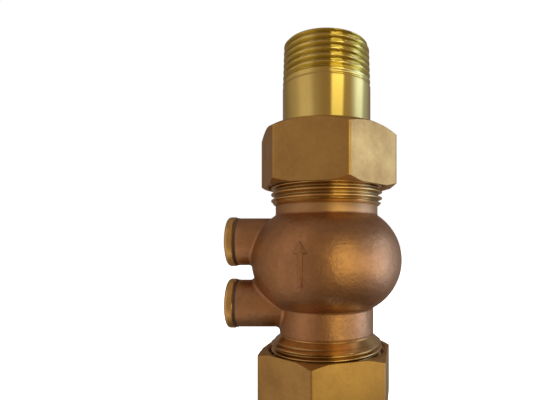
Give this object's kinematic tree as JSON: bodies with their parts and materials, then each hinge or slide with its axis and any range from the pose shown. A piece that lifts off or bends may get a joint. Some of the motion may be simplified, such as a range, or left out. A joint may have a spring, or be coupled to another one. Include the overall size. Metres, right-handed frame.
{
  "type": "non-return valve",
  "caption": "Spring-loaded non-return valve: cast ball body with plugged side bosses, hexagonal union nuts and tails with taper threads.",
  "frame": {"origin": "on the valve's axis, in the end face of the lower (inlet) tail", "axes": "+Z along the valve's axis with the flow, from inlet to outlet; the side bosses point to -X"},
  "size_m": [0.0653, 0.0564, 0.1671],
  "materials": {
    "cast_bronze": "as cast, satin",
    "machined_brass": "machined, satin",
    "turned_brass": "turned, bright",
    "plug_brass": "turned, satin",
    "inner_brass": "turned",
    "gasket_rubber": "moulded",
    "seal_rubber": "moulded",
    "washer_fibre": "pressed fibre",
    "bush_plastic": "moulded",
    "spring_steel": "drawn wire"
  },
  "bodies": {
    "valve": {"valve_body": "cast_bronze", "stem_guide": "inner_brass", "guide_bush": "bush_plastic", "guide_circlip": "spring_steel", "return_spring": "spring_steel"},
    "clapper_assembly": {"clapper": "inner_brass", "clapper_seal": "seal_rubber", "seal_clamp_washer": "inner_brass", "clapper_stem": "inner_brass", "stem_nut": "inner_brass"},
    "upper_tail_piece": {"upper_tail": "turned_brass", "upper_gasket": "gasket_rubber"},
    "upper_nut": {"upper_union_nut": "machined_brass"},
    "lower_tail_piece": {"lower_tail": "turned_brass", "lower_gasket": "gasket_rubber"},
    "lower_nut": {"lower_union_nut": "machined_brass"},
    "upper_washer": {"upper_plug_washer": "washer_fibre"},
    "upper_plug": {"upper_test_plug": "plug_brass"},
    "lower_washer": {"lower_plug_washer": "washer_fibre"},
    "lower_plug": {"lower_test_plug": "plug_brass"}
  },
  "joints": [
    {"name": "clapper_lift", "type": "slide", "parent": "valve", "child": "clapper_assembly", "axis": [0, 0, 1], "range_m": [0, 0.008], "stiffness_N_per_m": 150, "springref_m": -0.008, "deforming": ["return_spring"]},
    {"name": "upper_union_travel", "type": "slide", "parent": "valve", "child": "upper_tail_piece", "axis": [0, 0, 1], "range_m": [0, 0.01155]},
    {"name": "upper_union_turn", "type": "hinge", "parent": "upper_tail_piece", "child": "upper_nut", "pos_m": [0, 0, 0.1251], "axis": [0, 0, 1], "range_deg": [0, 1800]},
    {"name": "lower_union_travel", "type": "slide", "parent": "valve", "child": "lower_tail_piece", "axis": [0, 0, -1], "range_m": [0, 0.01155]},
    {"name": "lower_union_turn", "type": "hinge", "parent": "lower_tail_piece", "child": "lower_nut", "pos_m": [0, 0, 0.042], "axis": [0, 0, -1], "range_deg": [0, 1800]},
    {"name": "upper_plug_travel", "type": "slide", "parent": "valve", "child": "upper_washer", "axis": [-1, 0, 0], "range_m": [0, 0.00668]},
    {"name": "upper_plug_turn", "type": "hinge", "parent": "upper_washer", "child": "upper_plug", "pos_m": [-0.034, 0, 0.0934], "axis": [-1, 0, 0], "range_deg": [0, 1800]},
    {"name": "lower_plug_travel", "type": "slide", "parent": "valve", "child": "lower_washer", "axis": [-1, 0, 0], "range_m": [0, 0.00668]},
    {"name": "lower_plug_turn", "type": "hinge", "parent": "lower_washer", "child": "lower_plug", "pos_m": [-0.034, 0, 0.0701], "axis": [-1, 0, 0], "range_deg": [0, 1800]}
  ],
  "couplings": [
    {"joint": "upper_union_travel", "follows": "upper_union_turn", "m_per_rad": 0.00036749},
    {"joint": "lower_union_travel", "follows": "lower_union_turn", "m_per_rad": 0.00036749},
    {"joint": "upper_plug_turn", "follows": "upper_plug_travel", "rad_per_m": 4699.5},
    {"joint": "lower_plug_turn", "follows": "lower_plug_travel", "rad_per_m": 4699.5}
  ]
}
